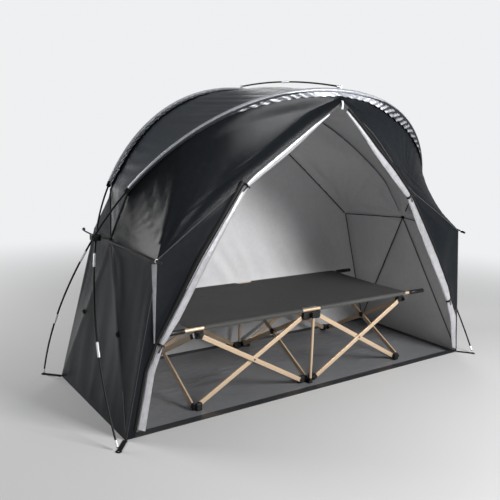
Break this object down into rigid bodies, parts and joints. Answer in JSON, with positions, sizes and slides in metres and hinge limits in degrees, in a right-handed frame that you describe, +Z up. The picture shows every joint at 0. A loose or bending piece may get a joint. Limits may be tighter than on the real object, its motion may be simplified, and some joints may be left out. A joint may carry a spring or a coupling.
{
  "type": "shelter tent with camp bed",
  "caption": "Bed-length shelter tent on two crossed hoop poles with a rolled-up front door, and the folding scissor-leg camp bed that stands on its groundsheet.",
  "frame": {"origin": "on the ground under the middle of the tent", "axes": "+X along the tent towards the right end as seen from the door, +Y from the door towards the back wall, +Z up"},
  "size_m": [2.5342, 1.0634, 1.6801],
  "materials": {
    "outer_fabric": "coated polyester, semi-gloss",
    "silver_fabric": "silver coated polyester",
    "floor_fabric": "coated groundsheet",
    "webbing": "woven webbing, matt",
    "pole": "glass-fibre rod with bright ferrules",
    "clip": "satin",
    "bed_plastic": "satin",
    "tube": "anodised champagne",
    "bed_fabric": "tight woven polyester, matt"
  },
  "bodies": {
    "tent": {"left_end_wall": "outer_fabric", "right_end_wall": "outer_fabric", "back_wall": "outer_fabric", "front_wall_left": "outer_fabric", "front_wall_right": "outer_fabric", "roof_panel": "outer_fabric", "front_canopy": "outer_fabric", "rear_canopy": "outer_fabric", "front_sleeve": "silver_fabric", "rear_sleeve": "silver_fabric", "left_door_roll": "silver_fabric", "right_door_roll": "silver_fabric", "groundsheet": "floor_fabric", "floor_edge_band": "webbing", "corner_strap_front_left": "webbing", "corner_strap_front_right": "webbing", "corner_strap_rear_left": "webbing", "corner_strap_rear_right": "webbing", "left_upper_door_tie": "webbing", "left_lower_door_tie": "webbing", "right_upper_door_tie": "webbing", "right_lower_door_tie": "webbing", "front_hoop_pole": "pole", "rear_hoop_pole": "pole", "ridge_pole": "pole", "left_brow_pole": "pole", "right_brow_pole": "pole", "left_hub": "clip", "right_hub": "clip"},
    "camp_bed": {"front_middle_foot": "bed_plastic"},
    "middle_cross_a": {"middle_cross_leg_a": "tube"},
    "middle_cross_b": {"middle_cross_leg_b": "tube"},
    "rear_middle": {"rear_middle_foot": "bed_plastic"},
    "front_right_outer": {"front_right_outer_leg": "tube"},
    "front_right_inner": {"front_right_inner_leg": "tube"},
    "front_right_top": {"front_right_top_joint": "bed_plastic"},
    "front_right_foot_end": {"front_right_foot": "bed_plastic"},
    "right_cross_a": {"right_cross_leg_a": "tube"},
    "right_cross_b": {"right_cross_leg_b": "tube"},
    "front_rail_frame": {"front_middle_top_joint": "bed_plastic", "front_rail": "tube", "front_post": "tube", "bed_cloth": "bed_fabric"},
    "front_left_outer": {"front_left_outer_leg": "tube"},
    "front_left_inner": {"front_left_inner_leg": "tube"},
    "front_left_top": {"front_left_top_joint": "bed_plastic"},
    "front_left_foot_end": {"front_left_foot": "bed_plastic"},
    "left_cross_a": {"left_cross_leg_a": "tube"},
    "left_cross_b": {"left_cross_leg_b": "tube"},
    "rear_right_outer": {"rear_right_outer_leg": "tube"},
    "rear_right_inner": {"rear_right_inner_leg": "tube"},
    "rear_right_top": {"rear_right_top_joint": "bed_plastic"},
    "rear_right_foot_end": {"rear_right_foot": "bed_plastic"},
    "rear_rail_frame": {"rear_middle_top_joint": "bed_plastic", "rear_rail": "tube", "rear_post": "tube"},
    "rear_left_outer": {"rear_left_outer_leg": "tube"},
    "rear_left_inner": {"rear_left_inner_leg": "tube"},
    "rear_left_top": {"rear_left_top_joint": "bed_plastic"},
    "rear_left_foot_end": {"rear_left_foot": "bed_plastic"}
  },
  "joints": [
    {"name": "bed_out", "type": "slide", "parent": "tent", "child": "camp_bed", "axis": [0, -1, 0], "range_m": [0, 0.95]},
    {"name": "bed_fold", "type": "hinge", "parent": "camp_bed", "child": "middle_cross_a", "pos_m": [-0.025, -0.335, 0.022], "axis": [1, 0, 0], "range_deg": [0, 50], "deforming": ["bed_cloth"]},
    {"name": "middle_cross_scissor", "type": "hinge", "parent": "middle_cross_a", "child": "middle_cross_b", "pos_m": [-0.025, 0, 0.208], "axis": [-1, 0, 0], "range_deg": [0, 100]},
    {"name": "rear_middle_foot_turn", "type": "hinge", "parent": "middle_cross_b", "child": "rear_middle", "pos_m": [-0.025, 0.335, 0.022], "axis": [1, 0, 0], "range_deg": [0, 50]},
    {"name": "front_right_leg_rise", "type": "hinge", "parent": "camp_bed", "child": "front_right_outer", "pos_m": [0.021, -0.335, 0.022], "axis": [0, -1, 0], "range_deg": [0, 50]},
    {"name": "front_right_scissor", "type": "hinge", "parent": "front_right_outer", "child": "front_right_inner", "pos_m": [0.356, -0.335, 0.208], "axis": [0, 1, 0], "range_deg": [0, 100]},
    {"name": "front_right_top_turn", "type": "hinge", "parent": "front_right_outer", "child": "front_right_top", "pos_m": [0.691, -0.335, 0.394], "axis": [0, 1, 0], "range_deg": [0, 50]},
    {"name": "front_right_foot_turn", "type": "hinge", "parent": "front_right_inner", "child": "front_right_foot_end", "pos_m": [0.691, -0.335, 0.022], "axis": [0, -1, 0], "range_deg": [0, 50]},
    {"name": "right_cross_rise", "type": "hinge", "parent": "front_right_foot_end", "child": "right_cross_a", "pos_m": [0.711, -0.335, 0.022], "axis": [1, 0, 0], "range_deg": [0, 50]},
    {"name": "right_cross_scissor", "type": "hinge", "parent": "right_cross_a", "child": "right_cross_b", "pos_m": [0.711, 0, 0.208], "axis": [-1, 0, 0], "range_deg": [0, 100]},
    {"name": "front_rail_turn", "type": "hinge", "parent": "front_right_inner", "child": "front_rail_frame", "pos_m": [0.021, -0.335, 0.394], "axis": [0, -1, 0], "range_deg": [0, 50]},
    {"name": "front_left_leg_rise", "type": "hinge", "parent": "camp_bed", "child": "front_left_outer", "pos_m": [-0.071, -0.335, 0.022], "axis": [0, 1, 0], "range_deg": [0, 50]},
    {"name": "front_left_scissor", "type": "hinge", "parent": "front_left_outer", "child": "front_left_inner", "pos_m": [-0.406, -0.335, 0.208], "axis": [0, -1, 0], "range_deg": [0, 100]},
    {"name": "front_left_top_turn", "type": "hinge", "parent": "front_left_outer", "child": "front_left_top", "pos_m": [-0.741, -0.335, 0.394], "axis": [0, -1, 0], "range_deg": [0, 50]},
    {"name": "front_left_foot_turn", "type": "hinge", "parent": "front_left_inner", "child": "front_left_foot_end", "pos_m": [-0.741, -0.335, 0.022], "axis": [0, 1, 0], "range_deg": [0, 50]},
    {"name": "left_cross_rise", "type": "hinge", "parent": "front_left_foot_end", "child": "left_cross_a", "pos_m": [-0.761, -0.335, 0.022], "axis": [1, 0, 0], "range_deg": [0, 50]},
    {"name": "left_cross_scissor", "type": "hinge", "parent": "left_cross_a", "child": "left_cross_b", "pos_m": [-0.761, 0, 0.208], "axis": [-1, 0, 0], "range_deg": [0, 100]},
    {"name": "rear_right_leg_rise", "type": "hinge", "parent": "rear_middle", "child": "rear_right_outer", "pos_m": [0.021, 0.335, 0.022], "axis": [0, -1, 0], "range_deg": [0, 50]},
    {"name": "rear_right_scissor", "type": "hinge", "parent": "rear_right_outer", "child": "rear_right_inner", "pos_m": [0.356, 0.335, 0.208], "axis": [0, 1, 0], "range_deg": [0, 100]},
    {"name": "rear_right_top_turn", "type": "hinge", "parent": "rear_right_outer", "child": "rear_right_top", "pos_m": [0.691, 0.335, 0.394], "axis": [0, 1, 0], "range_deg": [0, 50]},
    {"name": "rear_right_foot_turn", "type": "hinge", "parent": "rear_right_inner", "child": "rear_right_foot_end", "pos_m": [0.691, 0.335, 0.022], "axis": [0, -1, 0], "range_deg": [0, 50]},
    {"name": "rear_rail_turn", "type": "hinge", "parent": "rear_right_inner", "child": "rear_rail_frame", "pos_m": [0.021, 0.335, 0.394], "axis": [0, -1, 0], "range_deg": [0, 50]},
    {"name": "rear_left_leg_rise", "type": "hinge", "parent": "rear_middle", "child": "rear_left_outer", "pos_m": [-0.071, 0.335, 0.022], "axis": [0, 1, 0], "range_deg": [0, 50]},
    {"name": "rear_left_scissor", "type": "hinge", "parent": "rear_left_outer", "child": "rear_left_inner", "pos_m": [-0.406, 0.335, 0.208], "axis": [0, -1, 0], "range_deg": [0, 100]},
    {"name": "rear_left_top_turn", "type": "hinge", "parent": "rear_left_outer", "child": "rear_left_top", "pos_m": [-0.741, 0.335, 0.394], "axis": [0, -1, 0], "range_deg": [0, 50]},
    {"name": "rear_left_foot_turn", "type": "hinge", "parent": "rear_left_inner", "child": "rear_left_foot_end", "pos_m": [-0.741, 0.335, 0.022], "axis": [0, 1, 0], "range_deg": [0, 50]}
  ],
  "couplings": [
    {"joint": "middle_cross_scissor", "follows": "bed_fold", "ratio": 2},
    {"joint": "rear_middle_foot_turn", "follows": "bed_fold", "ratio": 1},
    {"joint": "front_right_leg_rise", "follows": "bed_fold", "ratio": 1},
    {"joint": "front_right_scissor", "follows": "bed_fold", "ratio": 2},
    {"joint": "front_right_top_turn", "follows": "bed_fold", "ratio": 1},
    {"joint": "front_right_foot_turn", "follows": "bed_fold", "ratio": 1},
    {"joint": "right_cross_rise", "follows": "bed_fold", "ratio": 1},
    {"joint": "right_cross_scissor", "follows": "bed_fold", "ratio": 2},
    {"joint": "front_rail_turn", "follows": "bed_fold", "ratio": 1},
    {"joint": "front_left_leg_rise", "follows": "bed_fold", "ratio": 1},
    {"joint": "front_left_scissor", "follows": "bed_fold", "ratio": 2},
    {"joint": "front_left_top_turn", "follows": "bed_fold", "ratio": 1},
    {"joint": "front_left_foot_turn", "follows": "bed_fold", "ratio": 1},
    {"joint": "left_cross_rise", "follows": "bed_fold", "ratio": 1},
    {"joint": "left_cross_scissor", "follows": "bed_fold", "ratio": 2},
    {"joint": "rear_right_leg_rise", "follows": "bed_fold", "ratio": 1},
    {"joint": "rear_right_scissor", "follows": "bed_fold", "ratio": 2},
    {"joint": "rear_right_top_turn", "follows": "bed_fold", "ratio": 1},
    {"joint": "rear_right_foot_turn", "follows": "bed_fold", "ratio": 1},
    {"joint": "rear_rail_turn", "follows": "bed_fold", "ratio": 1},
    {"joint": "rear_left_leg_rise", "follows": "bed_fold", "ratio": 1},
    {"joint": "rear_left_scissor", "follows": "bed_fold", "ratio": 2},
    {"joint": "rear_left_top_turn", "follows": "bed_fold", "ratio": 1},
    {"joint": "rear_left_foot_turn", "follows": "bed_fold", "ratio": 1}
  ]
}
